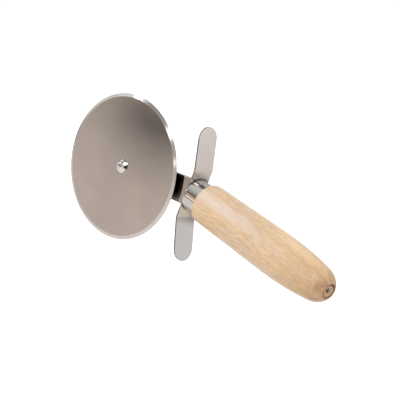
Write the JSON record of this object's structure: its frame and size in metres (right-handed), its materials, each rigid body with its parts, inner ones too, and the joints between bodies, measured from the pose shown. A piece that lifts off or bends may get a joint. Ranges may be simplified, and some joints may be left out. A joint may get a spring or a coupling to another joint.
{
  "type": "pastry cutter wheel",
  "caption": "Hand pastry and pizza cutter: a bevelled steel wheel spins on a riveted axle at the end of a cranked shank, with a bent finger guard, a ferrule and a turned wooden handle.",
  "frame": {"origin": "the mouth of the small blind hole in the middle of the handle's butt, on the handle's axis", "axes": "+X along the handle towards the wheel; +Z along the axle, on the side of the rivet's domed head, so the tool lies on its side; +Y is the side that the shank is cranked to"},
  "size_m": [0.2443, 0.1079, 0.0306],
  "materials": {
    "handle_wood": "sanded beech, lightly oiled, turned",
    "ferrule_steel": "bright polished stainless steel",
    "guard_steel": "polished stainless strip",
    "shank_steel": "polished stainless strip",
    "washer_steel": "plain stainless",
    "rivet_steel": "bright polished stainless steel",
    "wheel_steel": "polished stainless sheet with a ground bevel"
  },
  "bodies": {
    "tool": {"handle": "handle_wood", "ferrule": "ferrule_steel", "finger_guard": "guard_steel", "shank": "shank_steel", "spacer_washer": "washer_steel", "rivet_burr": "washer_steel", "axle_rivet": "rivet_steel"},
    "wheel": {"cutting_wheel": "wheel_steel"}
  },
  "joints": [
    {"name": "wheel_spin", "type": "hinge", "parent": "tool", "child": "wheel", "pos_m": [0.19434, 0.012, 0.0056], "axis": [0, 0, 1], "continuous": true}
  ]
}
